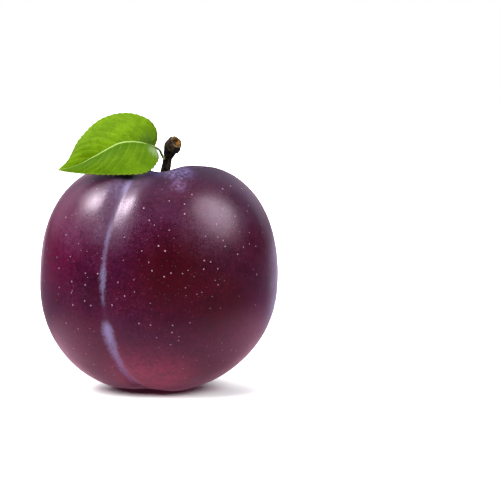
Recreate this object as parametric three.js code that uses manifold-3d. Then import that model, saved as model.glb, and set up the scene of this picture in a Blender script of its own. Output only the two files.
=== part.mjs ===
// A dark plum as picked: one fruit with its suture and stem cavity, the short woody stem with its
// knob, and one leaf on a thin stalk. Millimetres, +Z up. The fruit stands on the small flat spot
// that its own weight presses into its base, and the origin is on the floor below its middle.
import * as THREE from "three";
import { mergeVertices } from "three/addons/utils/BufferGeometryUtils.js";
import Module from "manifold-3d";

// Fruit. Its own frame has its middle at 0 and its stem end along +Z.
const GIRTH_RADIUS = 29.9;
const STEM_END_REACH = 29.8;
const BASE_END_REACH = 29.4;
const SHOULDER_FULLNESS = 2.48; // superellipse power towards the stem end, 2 is a plain ellipse
const BASE_FULLNESS = 2.1; // the same towards the base
const CAVITY = { depth: 5.8, width: 7.9 };
const CLEFT = { depth: 1.8, width: 4.0 }; // the lower saddle across the stem end, front to back
const BASE_DIMPLE = { depth: 0.8, width: 4.0 };
const SUTURE_BEARING = -117; // degrees from +X, where the suture crosses the widest part
const SUTURE_DRIFT = 7; // degrees that it turns by on its way to the stem end, and to the base
const VALLEY = { width: 7.0, middle: 0.5, atStem: 0.3, atBase: 0.6 }; // broad fold round the suture
const CREASE = { width: 1.3, middle: 0.17, atStem: 0.6, atBase: 0.95 }; // the fine line in that fold
const STEM_END_SPREAD = 0.7; // radians from the stem end over which the suture is deepest
const BASE_END_SPREAD = 0.6;
const FAR_SIDE_FADE = 3.0; // the suture dies out over this much past either end
const LEAN = 2; // degrees, stem end towards +X
const TIP_BACK = 5; // degrees, stem end towards +Y
const BASE_BEND = -1.5; // the base drifts by this much along X
const REST_FLAT_DEPTH = 0.6; // how much of the base the flat spot takes away
const FRUIT_ROWS = 40;
const FRUIT_COLUMNS = 72;
const SUTURE_CROWDING = 0.6; // 0 spaces the columns evenly, towards 1 they crowd at the suture

// Stem, measured from the fruit's middle: the points that it passes through.
const STEM_LINE = [
  [1.0, 2.2, 23.3],
  [1.3, 2.2, 25.1],
  [1.8, 1.9, 27.2],
  [2.35, 1.6, 29.9],
  [3.25, 1.2, 32.3],
  [4.55, 0.6, 33.8],
];
const STEM_RADII = [
  [0, 1.3],
  [0.25, 1.15],
  [0.57, 1.1],
  [0.7, 1.5],
  [0.82, 2.1],
  [0.92, 2.1],
  [1, 1.65],
]; // share of the way up, radius
const CUT_FACING = [0.62, -0.62, 0.48]; // the way the broken end looks
const CUT_TURN_FROM = 0.7; // share of the way up where the sections begin to turn to the cut
const CRATER = { share: 0.62, depth: 0.7 };
const BARK_RIDGES = 5;
const BARK_RIDGE_HEIGHT = 0.04; // share of the radius
const STEM_ROWS = 20;
const STEM_COLUMNS = 18;

// Leaf, measured from the fruit's middle: the points that its rib and its two margins pass through.
// The stalk springs from the side of the stem and runs on as the rib.
const BLADE_BASE = [-1.0, -5.0, 32.8];
const BLADE_TIP = [-24.8, -11.5, 27.4];
const STALK_LINE = [
  [0.65, 0.7, 30.1],
  [0.05, -1.7, 31.6],
];
const RIB_LINE = [
  [-3.1, -7.2, 33.8],
  [-6.4, -9.0, 34.4],
  [-9.5, -10.0, 34.1],
  [-12.5, -10.7, 32.7],
  [-15.3, -11.0, 31.1],
  [-20.7, -11.3, 28.4],
];
const UPPER_MARGIN = [
  [-0.3, -3.4, 34.9],
  [-0.5, -2.2, 36.9],
  [-2.3, -1.5, 39.4],
  [-7.5, -1.6, 41.1],
  [-14.1, -3.6, 39.7],
  [-19.4, -7.2, 34.9],
  [-22.4, -10.2, 29.6],
];
const LOWER_MARGIN = [
  [0.0, -10.5, 30.4],
  [-1.6, -14.6, 27.9],
  [-4.0, -16.7, 26.9],
  [-8.5, -16.4, 26.6],
  [-14.4, -14.2, 26.5],
  [-20.5, -12.5, 26.8],
];
const BLADE_THICKNESS = 0.62;
const BLADE_ARCH = 0.5; // how far each half swells between the rib and its margin
const RIB_IMPRESSION = { depth: 0.35, width: 1.5 };
const TEETH = 26; // on each margin
const TOOTH_STEPS = [0, 0.24, 0.06]; // how far the margin stands out, step by step
const BLADE_COLUMNS = 4; // on each side of the rib
const RIB_RADII = { stalk: 0.4, base: 0.52, tip: 0.34 };
const RIB_ROWS = 32;
const RIB_SIDES = 8;
const RIB_END = 0.97; // share of the line at which the rib sinks into the blade

const wasm = await Module();
wasm.setup();

const radians = THREE.MathUtils.degToRad;
const smooth = (x) => THREE.MathUtils.smoothstep(x, 0, 1);
const bell = (x, width) => Math.exp(-((x / width) ** 2));
const vector = (point) => new THREE.Vector3(...point);
const curveThrough = (points) => new THREE.CatmullRomCurve3(points.map(vector));

// The value at a place between listed [place, value] pairs, eased from one to the next.
function between(pairs, place) {
  const next = pairs.findIndex(([at]) => at >= place);
  if (next <= 0) return pairs[0][1];
  const [fromAt, from] = pairs[next - 1];
  const [toAt, to] = pairs[next];
  return THREE.MathUtils.lerp(from, to, smooth((place - fromAt) / (toAt - fromAt)));
}

// A closed solid from a list of vertices and triangles given as corner numbers.
function solidGeometry(points, triangles) {
  const geometry = new THREE.BufferGeometry();
  const positions = points.flatMap((p) => [p.x, p.y, p.z]);
  geometry.setAttribute("position", new THREE.Float32BufferAttribute(positions, 3));
  geometry.setIndex(triangles.flat());
  geometry.computeVertexNormals();
  return geometry;
}

// Joins rings of equal length, each turning the same way, into a skin closed by a point at each end.
function ringsGeometry(first, rings, last) {
  const size = rings[0].length;
  const points = [first, ...rings.flat(), last];
  const at = (row, column) => 1 + row * size + (column % size);
  const end = points.length - 1;
  const triangles = [];
  for (let column = 0; column < size; column++) {
    triangles.push([0, at(0, column + 1), at(0, column)]);
    triangles.push([end, at(rings.length - 1, column), at(rings.length - 1, column + 1)]);
    for (let row = 0; row + 1 < rings.length; row++) {
      triangles.push([at(row, column), at(row, column + 1), at(row + 1, column + 1)]);
      triangles.push([at(row, column), at(row + 1, column + 1), at(row + 1, column)]);
    }
  }
  return solidGeometry(points, triangles);
}

// How deep a fold of the suture is at an angle from the stem end.
function foldDepth(fold, polar) {
  const atStem = fold.atStem * bell(polar, STEM_END_SPREAD);
  const atBase = fold.atBase * bell(Math.PI - polar, BASE_END_SPREAD);
  return fold.middle + atStem + atBase;
}

// A point of the fruit's skin. polar runs from the stem end to the base, and turn goes round from
// the suture, both in radians. A superellipse gives the body, and the folds and dimples go in.
function fruitPoint(polar, turn) {
  const upness = Math.cos(polar);
  const reach = upness > 0 ? STEM_END_REACH : BASE_END_REACH;
  const power = THREE.MathUtils.lerp(BASE_FULLNESS, SHOULDER_FULLNESS, smooth((upness + 1) / 2));
  const across = Math.sin(polar) / GIRTH_RADIUS;
  const along = Math.abs(upness) / reach;
  const plain = (across ** power + along ** power) ** (-1 / power);
  const sideways = plain * Math.sin(polar) * Math.sin(turn);
  const ahead = plain * Math.sin(polar) * Math.cos(turn);
  const nearSide = (1 + Math.tanh(ahead / FAR_SIDE_FADE)) / 2;
  const folds =
    bell(sideways, VALLEY.width) * foldDepth(VALLEY, polar) +
    bell(sideways, CREASE.width) * foldDepth(CREASE, polar);
  const radius = plain - nearSide * folds;
  const drift = radians(SUTURE_DRIFT) * smooth(Math.abs(polar - Math.PI / 2) / (Math.PI / 2));
  const bearing = radians(SUTURE_BEARING) + drift + turn;
  const out = radius * Math.sin(polar);
  const level = radius * upness;
  const dimple = level > 0 ? -CAVITY.depth * bell(out, CAVITY.width)
    : BASE_DIMPLE.depth * bell(out, BASE_DIMPLE.width);
  const point = new THREE.Vector3(
    out * Math.cos(bearing),
    out * Math.sin(bearing),
    level + dimple,
  );
  const topness = THREE.MathUtils.clamp(point.z / GIRTH_RADIUS, 0, 1);
  point.z -= CLEFT.depth * bell(point.x, CLEFT.width) * topness ** 2;
  point.applyAxisAngle(new THREE.Vector3(0, 1, 0), radians(LEAN));
  point.applyAxisAngle(new THREE.Vector3(1, 0, 0), -radians(TIP_BACK));
  const lowness = THREE.MathUtils.clamp(-point.z / GIRTH_RADIUS, 0, 1);
  point.x += BASE_BEND * lowness ** 2;
  return point;
}

function fruitGeometry() {
  const rings = [];
  for (let row = 1; row < FRUIT_ROWS; row++) {
    const ring = [];
    for (let column = 0; column < FRUIT_COLUMNS; column++) {
      const round = (2 * Math.PI * column) / FRUIT_COLUMNS;
      const turn = round - SUTURE_CROWDING * Math.sin(round);
      ring.push(fruitPoint((Math.PI * row) / FRUIT_ROWS, turn));
    }
    rings.push(ring);
  }
  const top = fruitPoint(0, 0);
  const base = fruitPoint(Math.PI, 0);
  const points = [top, ...rings.flat(), base];
  const floor = Math.min(...points.map((p) => p.z)) + REST_FLAT_DEPTH;
  for (const point of points) point.z = Math.max(point.z, floor);
  return { geometry: ringsGeometry(base, rings.reverse(), top), floor };
}

// A ring round a centre, in the plane that faces along the given direction.
function ringAround(centre, facing, size, radiusAt) {
  const side = new THREE.Vector3(0, 1, 0).cross(facing).normalize();
  const ahead = facing.clone().cross(side);
  const ring = [];
  for (let corner = 0; corner < size; corner++) {
    const angle = (2 * Math.PI * corner) / size;
    const radius = radiusAt(angle);
    ring.push(
      centre
        .clone()
        .addScaledVector(side, radius * Math.cos(angle))
        .addScaledVector(ahead, radius * Math.sin(angle)),
    );
  }
  return ring;
}

// The stem's rings stand across its line at first and turn to the plane of the broken end.
function stemGeometry() {
  const line = curveThrough(STEM_LINE);
  const cut = vector(CUT_FACING).normalize();
  const rings = [];
  for (let row = 0; row <= STEM_ROWS; row++) {
    const share = row / STEM_ROWS;
    const turned = smooth((share - CUT_TURN_FROM) / (1 - CUT_TURN_FROM));
    const facing = line.getTangentAt(share).lerp(cut, turned).normalize();
    const radius = between(STEM_RADII, share);
    const ridged = (angle) => radius * (1 + BARK_RIDGE_HEIGHT * Math.cos(BARK_RIDGES * angle));
    rings.push(ringAround(line.getPointAt(share), facing, STEM_COLUMNS, ridged));
  }
  const end = line.getPoint(1);
  const bottom = end.clone().addScaledVector(cut, -CRATER.depth);
  const lip = between(STEM_RADII, 1) * CRATER.share;
  rings.push(ringAround(end, cut, STEM_COLUMNS, () => lip));
  rings.push(ringAround(bottom, cut, STEM_COLUMNS, () => lip * CRATER.share));
  return ringsGeometry(line.getPoint(0), rings, bottom);
}

const stalkAndRib = curveThrough([...STALK_LINE, BLADE_BASE, ...RIB_LINE, BLADE_TIP]);
const stalkShare = STALK_LINE.length / (STALK_LINE.length + 1 + RIB_LINE.length);
const upperMargin = curveThrough([BLADE_BASE, ...UPPER_MARGIN, BLADE_TIP]);
const lowerMargin = curveThrough([BLADE_BASE, ...LOWER_MARGIN, BLADE_TIP]);

// One row of the blade's middle surface, from the lower margin over the rib to the upper margin.
function bladeRow(share, tooth) {
  const rib = stalkAndRib.getPoint(THREE.MathUtils.lerp(stalkShare, 1, share));
  const [lower, upper] = [lowerMargin.getPointAt(share), upperMargin.getPointAt(share)];
  const tangent = stalkAndRib.getTangent(THREE.MathUtils.lerp(stalkShare, 1, share));
  const facing = upper.clone().sub(lower).cross(tangent).normalize();
  const row = [];
  for (let column = -BLADE_COLUMNS; column <= BLADE_COLUMNS; column++) {
    const out = Math.abs(column) / BLADE_COLUMNS;
    const margin = column < 0 ? lower : upper;
    const width = margin.distanceTo(rib);
    const fullness = Math.min(1, width / 5);
    const swelling = 4 * out * (1 - out) * BLADE_ARCH * fullness;
    const impression = RIB_IMPRESSION.depth * bell(out * width, RIB_IMPRESSION.width) * fullness;
    const reach = out === 1 ? out + tooth / width : out;
    row.push(rib.clone().lerp(margin, reach).addScaledVector(facing, swelling - impression));
  }
  return row;
}

// The blade as two faces a thickness apart, with the same triangles, joined round the toothed edge.
function bladeGeometry() {
  const rows = TEETH * TOOTH_STEPS.length;
  const size = 2 * BLADE_COLUMNS + 1;
  const middle = [];
  for (let row = 0; row < rows; row++) {
    const share = (row + 0.5) / rows;
    const fade = Math.min(1, 4 * (1 - share), 8 * share);
    middle.push(...bladeRow(share, TOOTH_STEPS[row % TOOTH_STEPS.length] * fade));
  }
  const face = [];
  for (let row = 0; row + 1 < rows; row++)
    for (let column = 0; column + 1 < size; column++) {
      const corner = row * size + column;
      face.push([corner, corner + 1, corner + size + 1]);
      face.push([corner, corner + size + 1, corner + size]);
    }
  const normals = solidGeometry(middle, face).getAttribute("normal");
  const lifted = (lift) =>
    middle.map((point, index) =>
      point.clone().addScaledVector(new THREE.Vector3().fromBufferAttribute(normals, index), lift),
    );
  const points = [...lifted(BLADE_THICKNESS / 2), ...lifted(-BLADE_THICKNESS / 2)];
  const count = middle.length;
  const back = face.map(([a, b, c]) => [a + count, c + count, b + count]);
  const rim = [];
  for (let column = 0; column + 1 < size; column++) rim.push(column);
  for (let row = 0; row + 1 < rows; row++) rim.push(row * size + size - 1);
  for (let column = size - 1; column > 0; column--) rim.push((rows - 1) * size + column);
  for (let row = rows - 1; row > 0; row--) rim.push(row * size);
  const wall = rim.flatMap((a, index) => {
    const b = rim[(index + 1) % rim.length];
    return [
      [b, a, a + count],
      [b, a + count, b + count],
    ];
  });
  return solidGeometry(points, [...face, ...back, ...wall]);
}

// The stalk, carried on as the rib nearly to the blade's tip, as one tapering round rod.
function ribGeometry() {
  const rings = [];
  for (let row = 0; row <= RIB_ROWS; row++) {
    const share = (RIB_END * row) / RIB_ROWS;
    const radius = between(
      [
        [0, RIB_RADII.stalk],
        [stalkShare, RIB_RADII.base],
        [1, RIB_RADII.tip],
      ],
      share,
    );
    const tangent = stalkAndRib.getTangent(share);
    rings.push(ringAround(stalkAndRib.getPoint(share), tangent, RIB_SIDES, () => radius));
  }
  return ringsGeometry(stalkAndRib.getPoint(0), rings, stalkAndRib.getPoint(RIB_END));
}

function toManifold(geometry) {
  const bare = new THREE.BufferGeometry();
  bare.setAttribute("position", geometry.getAttribute("position"));
  bare.setIndex(geometry.getIndex());
  const merged = mergeVertices(bare, 1e-4);
  return new wasm.Manifold(
    new wasm.Mesh({
      numProp: 3,
      vertProperties: merged.attributes.position.array,
      triVerts: new Uint32Array(merged.index.array),
    }),
  );
}

function fromManifold(solid) {
  const { vertProperties, triVerts } = solid.getMesh();
  const geometry = new THREE.BufferGeometry();
  geometry.setAttribute("position", new THREE.BufferAttribute(vertProperties, 3));
  geometry.setIndex(new THREE.BufferAttribute(triVerts, 1));
  geometry.computeVertexNormals();
  return geometry;
}

function leafGeometry() {
  return fromManifold(toManifold(bladeGeometry()).add(toManifold(ribGeometry())));
}

function namedMesh(name, geometry, color, roughness) {
  const material = new THREE.MeshStandardMaterial({ color, roughness, metalness: 0 });
  const mesh = new THREE.Mesh(geometry, material);
  mesh.name = name;
  return mesh;
}

const fruit = fruitGeometry();
const plum = new THREE.Group();
plum.position.z = -fruit.floor;
plum.add(namedMesh("fruit", fruit.geometry, 0x4a1430, 0.35));
plum.add(namedMesh("stem", stemGeometry(), 0x2b2019, 0.8));
plum.add(namedMesh("leaf", leafGeometry(), 0x6fa51c, 0.45));

export default plum;
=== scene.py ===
"""A dark plum with its stem and one leaf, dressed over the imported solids.

Shapes are worked out in millimetres, measured from the middle of the fruit as in the part's
source, and go into the meshes in metres, measured from the floor below the plum.
"""

import logging
import math
from dataclasses import dataclass, field
from enum import Enum

import bpy
import numpy as np
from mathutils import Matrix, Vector


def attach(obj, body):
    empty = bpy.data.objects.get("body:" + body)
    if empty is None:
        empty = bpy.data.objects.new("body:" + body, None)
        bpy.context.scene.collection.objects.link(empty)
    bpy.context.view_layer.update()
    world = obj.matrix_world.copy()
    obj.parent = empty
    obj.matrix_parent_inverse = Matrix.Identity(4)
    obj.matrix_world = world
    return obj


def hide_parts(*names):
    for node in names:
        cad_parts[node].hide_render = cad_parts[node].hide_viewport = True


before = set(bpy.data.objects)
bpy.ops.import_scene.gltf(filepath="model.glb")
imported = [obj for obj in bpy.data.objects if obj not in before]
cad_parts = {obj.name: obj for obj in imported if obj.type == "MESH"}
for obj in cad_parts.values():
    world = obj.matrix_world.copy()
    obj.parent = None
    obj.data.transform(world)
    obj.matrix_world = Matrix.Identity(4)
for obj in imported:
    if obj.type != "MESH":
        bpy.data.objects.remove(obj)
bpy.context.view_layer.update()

MM = 0.001
MIDDLE_HEIGHT = 28.607
GRAIN_FINENESS = 6.5
LATTICE_SIDE = 32
LINE_STEPS = 1200
Colour = tuple[float, float, float]

log = logging.getLogger("plum")


class Side(Enum):
    """The two halves of the leaf, as seen in its place on the plum."""

    LOWER = -1
    UPPER = 1


class LampRole(Enum):
    """What each lamp of the studio is for."""

    KEY = "key"
    FILL = "fill"
    SIDE = "side"
    OVERHEAD = "overhead"
    LOW_LEFT = "low_left"
    LOW_RIGHT = "low_right"
    REAR = "rear"


def smooth(x: np.ndarray) -> np.ndarray:
    """Eases x from 0 to 1 with level ends: three x squared less two x cubed, held at 0 and 1."""
    held = np.clip(x, 0.0, 1.0)
    return held * held * (3.0 - 2.0 * held)


def bell(x: np.ndarray, width: float) -> np.ndarray:
    """One at x = 0 and falling off both ways: e to the minus of x over width, squared."""
    return np.exp(-((x / width) ** 2))


def unit(vectors: np.ndarray) -> np.ndarray:
    """Each vector divided by its own length."""
    return vectors / np.maximum(np.linalg.norm(vectors, axis=-1, keepdims=True), 1e-12)


class LatticeNoise:
    """Smooth seeded noise: random values on a cubic lattice, blended between its corners."""

    def __init__(self, seed: int) -> None:
        """Draws the lattice's values.

        Args:
            seed: picks one fixed set of values.
        """
        self.values = np.random.default_rng(seed).uniform(-1.0, 1.0, (LATTICE_SIDE,) * 3)

    def at(self, points: np.ndarray, cell: float) -> np.ndarray:
        """The noise at each point, eased between the eight corners of the cell round it.

        Args:
            points: positions, three numbers in the last axis.
            cell: size of one lattice cell, in the same unit.

        Returns:
            One value from -1 to 1 for each point.
        """
        scaled = points / cell
        corner = np.floor(scaled).astype(int)
        share = smooth(scaled - corner)
        total = np.zeros(points.shape[:-1])
        for dx, dy, dz in np.ndindex(2, 2, 2):
            weight = np.abs(1 - dx - share[..., 0])
            weight = weight * np.abs(1 - dy - share[..., 1])
            weight = weight * np.abs(1 - dz - share[..., 2])
            near = (corner + (dx, dy, dz)) % LATTICE_SIDE
            total += weight * self.values[near[..., 0], near[..., 1], near[..., 2]]
        return total


class Line:
    """A smooth line through points: a centripetal Catmull-Rom spline, as in the part's source."""

    def __init__(self, points: list[tuple[float, float, float]]) -> None:
        """Works out the line's cubic pieces and its length.

        Args:
            points: the points that the line passes through, in millimetres.
        """
        inner = np.array(points, float)
        first = 2 * inner[0] - inner[1]
        last = 2 * inner[-1] - inner[-2]
        known = np.vstack([first, inner, last])
        self.pieces = len(inner) - 1
        step = np.sqrt(np.linalg.norm(np.diff(known, axis=0), axis=1))[:, None]
        before, here, there = step[:-2], step[1:-1], step[2:]
        p0, p1, p2, p3 = known[:-3], known[1:-2], known[2:-1], known[3:]
        out = (p1 - p0) / before - (p2 - p0) / (before + here) + (p2 - p1) / here
        into = (p2 - p1) / here - (p3 - p1) / (here + there) + (p3 - p2) / there
        out, into = out * here, into * here
        square = 3 * (p2 - p1) - 2 * out - into
        cube = 2 * (p1 - p2) + out + into
        self.cubics = np.stack([p1, out, square, cube])
        self.even = np.linspace(0.0, 1.0, LINE_STEPS)
        lengths = np.linalg.norm(np.diff(self.at(self.even), axis=0), axis=1)
        self.run = np.concatenate([[0.0], np.cumsum(lengths)])

    def at(self, place: np.ndarray) -> np.ndarray:
        """Points of the line: on each stretch, a plus t times (b plus t times (c plus t times d)).

        Args:
            place: places from 0 to 1, where every stretch between two points counts alike.

        Returns:
            The points, three numbers in the last axis.
        """
        scaled = np.clip(place, 0.0, 1.0) * self.pieces
        piece = np.minimum(scaled.astype(int), self.pieces - 1)
        t = (scaled - piece)[..., None]
        a, b, c, d = (self.cubics[k][piece] for k in range(4))
        return a + t * (b + t * (c + t * d))

    def tangent(self, place: np.ndarray) -> np.ndarray:
        """Unit directions along the line, from points just before and just after each place."""
        return unit(self.at(place + 1e-4) - self.at(place - 1e-4))

    def by_length(self, share: np.ndarray) -> np.ndarray:
        """The places at which the line has run the given shares of its length."""
        return np.interp(share, self.run / self.run[-1], self.even)


def grid_quads(rows: int, columns: int, closed: bool) -> np.ndarray:
    """Corner numbers of the quads of a grid whose points are listed row by row.

    Args:
        rows: rows of points.
        columns: points in a row.
        closed: joins the last column to the first.

    Returns:
        Four corner numbers for each quad, turning from a column to the next and then on a row.
    """
    row = np.arange(rows - 1)[:, None] * columns
    column = np.arange(columns if closed else columns - 1)[None, :]
    onward = (column + 1) % columns
    corners = [row + column, row + onward, row + columns + onward, row + columns + column]
    return np.stack(corners, axis=-1).reshape(-1, 4)


def cap_triangles(ring: np.ndarray, tip: int) -> np.ndarray:
    """Triangles that close a ring of points with one point, turning as the ring is listed."""
    return np.stack([ring, np.roll(ring, -1), np.full_like(ring, tip)], axis=-1)


@dataclass
class Surface:
    """A mesh before it goes into the scene: points, faces and values kept with the points."""

    points: np.ndarray
    faces: list[np.ndarray]
    values: dict[str, np.ndarray] = field(default_factory=dict)

    def join(self, other: "Surface") -> "Surface":
        """Both surfaces as one, each keeping its own points and values.

        Args:
            other: a surface that keeps the same values.

        Returns:
            The joined surface.
        """
        count = len(self.points)
        values = {
            name: np.concatenate([self.values[name], other.values[name]]) for name in self.values
        }
        faces = self.faces + [f + count for f in other.faces]
        return Surface(np.vstack([self.points, other.points]), faces, values)

    def place(self, name: str, material: bpy.types.Material) -> bpy.types.Object:
        """Puts the surface into the scene as a smooth mesh that rides on the plum.

        Args:
            name: name of the new piece.
            material: its finish.

        Returns:
            The new object, at the origin, with its place in its mesh.
        """
        world = (self.points + (0.0, 0.0, MIDDLE_HEIGHT)) * MM
        loops = np.concatenate([f.ravel() for f in self.faces])
        sizes = np.concatenate([np.full(len(f), f.shape[1]) for f in self.faces])
        mesh = bpy.data.meshes.new(name)
        mesh.vertices.add(len(world))
        mesh.vertices.foreach_set("co", world.astype(np.float32).ravel())
        mesh.loops.add(len(loops))
        mesh.loops.foreach_set("vertex_index", loops.astype(np.int32))
        mesh.polygons.add(len(sizes))
        starts = np.concatenate([[0], np.cumsum(sizes)[:-1]])
        mesh.polygons.foreach_set("loop_start", starts.astype(np.int32))
        mesh.polygons.foreach_set("use_smooth", np.ones(len(sizes), bool))
        for value_name, numbers in self.values.items():
            attribute = mesh.attributes.new(value_name, "FLOAT", "POINT")
            attribute.data.foreach_set("value", numbers.astype(np.float32).ravel())
        mesh.update(calc_edges=True)
        mesh.validate()
        mesh.materials.append(material)
        piece = bpy.data.objects.new(name, mesh)
        bpy.context.scene.collection.objects.link(piece)
        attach(piece, "root")
        log.info("%s: %d points, %d faces", name, len(world), len(sizes))
        return piece


@dataclass(frozen=True)
class Slant:
    """A soft slanted border: its slope, its start, where it is full, and the share before it."""

    slope: float
    start: float
    full: float
    before: float = 0.0


class Nodes:
    """Short ways to add and join the nodes of one material or group."""

    def __init__(self, tree: bpy.types.NodeTree) -> None:
        """Keeps the tree that the nodes go into."""
        self.tree = tree

    def add(self, kind: str, **settings: object) -> bpy.types.Node:
        """Adds a node of one kind.

        Args:
            kind: the node's type.
            settings: properties to set on it, by name.

        Returns:
            The new node.
        """
        node = self.tree.nodes.new(kind)
        for name, value in settings.items():
            setattr(node, name, value)
        return node

    def feed(self, socket: bpy.types.NodeSocket, source: object) -> None:
        """Joins a socket to another node's output, or sets it to a plain value.

        Args:
            socket: the input to fill.
            source: an output, a number, a colour or a vector.
        """
        if isinstance(source, bpy.types.NodeSocket):
            self.tree.links.new(source, socket)
        elif isinstance(source, tuple) and len(source) == 3 and socket.type == "RGBA":
            socket.default_value = (*source, 1.0)
        else:
            socket.default_value = source

    def value(self, name: str) -> bpy.types.NodeSocket:
        """A value kept with the mesh's points."""
        return self.add("ShaderNodeAttribute", attribute_name=name).outputs["Fac"]

    def maths(self, operation: str, *terms: object) -> bpy.types.NodeSocket:
        """One step of arithmetic.

        Args:
            operation: which one.
            terms: up to three outputs or numbers.

        Returns:
            The result.
        """
        node = self.add("ShaderNodeMath", operation=operation)
        for socket, term in zip(node.inputs, terms):
            self.feed(socket, term)
        return node.outputs[0]

    def ranged(
        self, source: object, low: float, high: float, to_low: float = 0.0, to_high: float = 1.0
    ) -> bpy.types.NodeSocket:
        """Eases a value from one range into another and holds it at both ends.

        Args:
            source: the value.
            low: the value that gives to_low.
            high: the value that gives to_high.
            to_low: result at low.
            to_high: result at high.

        Returns:
            The eased value.
        """
        node = self.add("ShaderNodeMapRange", interpolation_type="SMOOTHSTEP")
        for socket, term in zip(node.inputs, (source, low, high, to_low, to_high)):
            self.feed(socket, term)
        return node.outputs[0]

    def past(
        self, border: Slant, across: bpy.types.NodeSocket, along: bpy.types.NodeSocket
    ) -> bpy.types.NodeSocket:
        """How far a place lies past a slanted border: slope times across plus along, eased.

        Args:
            border: the border.
            across: the coordinate that the slope counts.
            along: the coordinate that is added to it.

        Returns:
            The share, up to 1 past the border.
        """
        place = self.maths("MULTIPLY_ADD", across, border.slope, along)
        return self.ranged(place, border.start, border.full, border.before, 1.0)

    def curve(self, source: object, stops: list[tuple[float, float]]) -> bpy.types.NodeSocket:
        """A grey ramp: the value read off listed stops, eased from one to the next.

        Args:
            source: place on the ramp, 0 to 1.
            stops: pairs of place and value.

        Returns:
            The ramp's value.
        """
        node = self.add("ShaderNodeValToRGB")
        ramp = node.color_ramp
        ramp.interpolation = "EASE"
        while len(ramp.elements) < len(stops):
            ramp.elements.new(0.5)
        for element, (place, grey) in zip(ramp.elements, stops):
            element.position = place
            element.color = (grey, grey, grey, 1.0)
        self.feed(node.inputs[0], source)
        return node.outputs[0]

    def blend(self, share: object, first: object, second: object) -> bpy.types.NodeSocket:
        """Mixes two colours.

        Args:
            share: how much of the second one, 0 to 1.
            first: the colour at 0.
            second: the colour at 1.

        Returns:
            The mixed colour.
        """
        node = self.add("ShaderNodeMix", data_type="RGBA")
        self.feed(node.inputs[0], share)
        self.feed(node.inputs[6], first)
        self.feed(node.inputs[7], second)
        return node.outputs[2]

    def place(self) -> bpy.types.NodeSocket:
        """Object coordinates, in metres."""
        return self.add("ShaderNodeTexCoord").outputs["Object"]

    def noise(
        self, scale: float, detail: float, roughness: float, at: bpy.types.NodeSocket
    ) -> bpy.types.NodeSocket:
        """Soft noise.

        Args:
            scale: patches for each metre.
            detail: how many finer layers.
            roughness: how strong the finer layers are.
            at: the coordinates that it is read at.

        Returns:
            Values round one half.
        """
        node = self.add("ShaderNodeTexNoise")
        self.feed(node.inputs["Vector"], at)
        self.feed(node.inputs["Scale"], scale)
        self.feed(node.inputs["Detail"], detail)
        self.feed(node.inputs["Roughness"], roughness)
        return node.outputs[0]


def mottle_group() -> bpy.types.NodeTree:
    """A shader group of soft patches broken by finer grain, for every natural surface here.

    Returns:
        The group, with Scale, Grain and Contrast in, and Mask and Height out.
    """
    tree = bpy.data.node_groups.get("natural_mottle")
    if tree:
        return tree
    tree = bpy.data.node_groups.new("natural_mottle", "ShaderNodeTree")
    for name, start in (("Scale", 100.0), ("Grain", 0.5), ("Contrast", 1.0)):
        socket = tree.interface.new_socket(name, in_out="INPUT", socket_type="NodeSocketFloat")
        socket.default_value = start
    tree.interface.new_socket("Mask", in_out="OUTPUT", socket_type="NodeSocketFloat")
    tree.interface.new_socket("Height", in_out="OUTPUT", socket_type="NodeSocketFloat")
    nodes = Nodes(tree)
    given = nodes.add("NodeGroupInput").outputs
    broad = nodes.add("ShaderNodeTexNoise")
    fine = nodes.add("ShaderNodeTexNoise")
    finer = nodes.maths("MULTIPLY", given["Scale"], GRAIN_FINENESS)
    for node, scale in ((broad, given["Scale"]), (fine, finer)):
        nodes.feed(node.inputs["Vector"], nodes.place())
        nodes.feed(node.inputs["Scale"], scale)
        nodes.feed(node.inputs["Detail"], 3.0)
    grain = nodes.maths("MULTIPLY", nodes.maths("SUBTRACT", fine.outputs[0], 0.5), given["Grain"])
    mixed = nodes.maths("ADD", broad.outputs[0], grain)
    spread = nodes.maths("MULTIPLY", nodes.maths("SUBTRACT", mixed, 0.5), given["Contrast"])
    mask = nodes.maths("ADD", nodes.maths("MULTIPLY", spread, 2.5), 0.5)
    held = nodes.add("ShaderNodeClamp")
    nodes.feed(held.inputs[0], mask)
    result = nodes.add("NodeGroupOutput")
    nodes.feed(result.inputs["Mask"], held.outputs[0])
    nodes.feed(result.inputs["Height"], mixed)
    return tree


@dataclass(frozen=True)
class Blush:
    """A broad patch of another colour round one place, in millimetres from the fruit's middle."""

    colour: Colour
    centre: tuple[float, float, float]
    radius: float
    strength: float


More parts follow.
